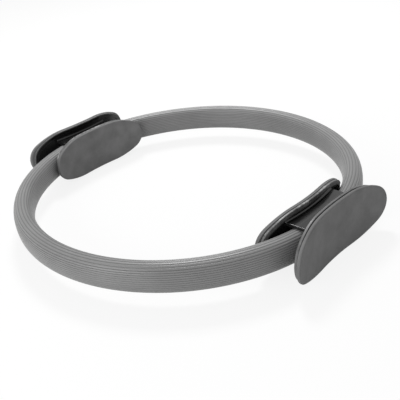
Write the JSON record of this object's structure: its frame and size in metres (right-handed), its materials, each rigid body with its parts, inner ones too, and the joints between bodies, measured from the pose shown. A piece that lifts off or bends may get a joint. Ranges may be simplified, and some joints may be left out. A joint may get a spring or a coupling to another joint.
{
  "type": "pilates ring",
  "caption": "Sprung exercise hoop in a ribbed soft sleeve, with opposed padded handles that are squeezed together or pressed apart by hands or legs.",
  "frame": {"origin": "centre of the hoop, midway between the two handles and at half height", "axes": "+X from the left handle to the right handle, +Z along the hoop's axis, +Y to the rear"},
  "size_m": [0.3834, 0.3596, 0.0542],
  "materials": {
    "leaf": "glass-fibre laminate, natural",
    "sleeve": "soft foamed rubber, ribbed along the hoop, satin",
    "pad": "soft foam with a fine matt skin",
    "shell": "injection moulded, semi gloss black",
    "clamp": "injection moulded, matt",
    "steel": "zinc plated",
    "rivet": "plain"
  },
  "bodies": {
    "left_handle": {"left_outer_shell": "shell", "left_inner_shell": "shell", "left_outer_pad": "pad", "left_inner_pad": "pad", "left_clamp_block": "clamp", "left_shell_screws": "steel", "left_leaf_rivets": "rivet", "left_rivet_washers": "steel", "leaf_inner": "leaf", "leaf_middle": "leaf", "leaf_outer": "leaf", "sleeve_front": "sleeve", "sleeve_rear": "sleeve"},
    "right_handle": {"right_outer_shell": "shell", "right_inner_shell": "shell", "right_outer_pad": "pad", "right_inner_pad": "pad", "right_clamp_block": "clamp", "right_shell_screws": "steel", "right_leaf_rivets": "rivet", "right_rivet_washers": "steel"}
  },
  "joints": [
    {"name": "squeeze", "type": "slide", "parent": "left_handle", "child": "right_handle", "axis": [-1, 0, 0], "range_m": [-0.02, 0.06], "stiffness_N_per_m": 1500, "deforming": ["leaf_inner", "leaf_middle", "leaf_outer", "sleeve_front", "sleeve_rear"]}
  ]
}
